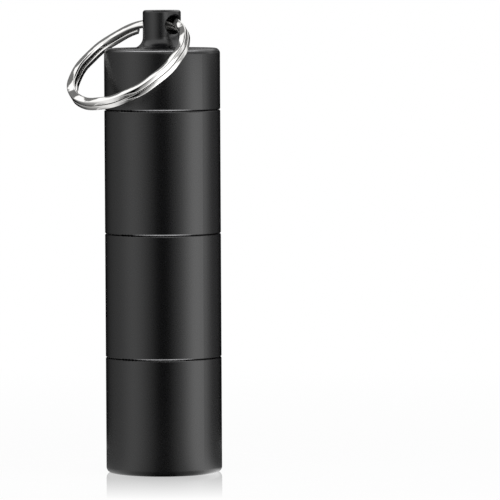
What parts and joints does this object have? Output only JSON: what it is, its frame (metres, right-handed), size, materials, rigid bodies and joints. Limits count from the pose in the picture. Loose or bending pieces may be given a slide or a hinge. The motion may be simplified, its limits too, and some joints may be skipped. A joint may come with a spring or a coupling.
{
  "type": "pill fob keychain",
  "caption": "Slim cylindrical metal pill holder in stacked screw-together cups with rubber seals, a key post on the cap and a split ring for keys.",
  "frame": {"origin": "centre of the base that the fob stands on", "axes": "+Z along the stack up to the key post, X along the post's cross hole, the split ring hangs towards -Y"},
  "size_m": [0.0204, 0.0243, 0.071],
  "materials": {
    "anodised_aluminium": "satin black anodised over fine bead blasting",
    "seal_rubber": "moulded matt nitrile",
    "nickel_steel": "bright nickel plate on spring steel"
  },
  "bodies": {
    "bottom_cup": {"bottom_cup": "anodised_aluminium"},
    "lower_seal": {"lower_seal": "seal_rubber"},
    "middle_cup": {"middle_cup": "anodised_aluminium"},
    "middle_seal": {"middle_seal": "seal_rubber"},
    "upper_cup": {"upper_cup": "anodised_aluminium"},
    "upper_seal": {"upper_seal": "seal_rubber"},
    "cap": {"cap": "anodised_aluminium"},
    "split_ring": {"split_ring": "nickel_steel"}
  },
  "joints": [
    {"name": "lower_screw", "type": "hinge", "parent": "bottom_cup", "child": "lower_seal", "pos_m": [0, 0, 0.01775], "axis": [0, 0, 1], "range_deg": [0, 2520]},
    {"name": "lower_lift", "type": "slide", "parent": "lower_seal", "child": "middle_cup", "axis": [0, 0, 1], "range_m": [0, 0.00701]},
    {"name": "middle_screw", "type": "hinge", "parent": "middle_cup", "child": "middle_seal", "pos_m": [0, 0, 0.03673], "axis": [0, 0, 1], "range_deg": [0, 2520]},
    {"name": "middle_lift", "type": "slide", "parent": "middle_seal", "child": "upper_cup", "axis": [0, 0, 1], "range_m": [0, 0.00701]},
    {"name": "upper_screw", "type": "hinge", "parent": "upper_cup", "child": "upper_seal", "pos_m": [0, 0, 0.05571], "axis": [0, 0, 1], "range_deg": [0, 2520]},
    {"name": "upper_lift", "type": "slide", "parent": "upper_seal", "child": "cap", "axis": [0, 0, 1], "range_m": [0, 0.00701]},
    {"name": "ring_swing", "type": "hinge", "parent": "cap", "child": "split_ring", "pos_m": [0, 0, 0.06876], "axis": [-1, 0, 0], "range_deg": [0, 258]}
  ],
  "couplings": [
    {"joint": "lower_lift", "follows": "lower_screw", "m_per_rad": 0.00015915},
    {"joint": "middle_lift", "follows": "middle_screw", "m_per_rad": 0.00015915},
    {"joint": "upper_lift", "follows": "upper_screw", "m_per_rad": 0.00015915}
  ]
}
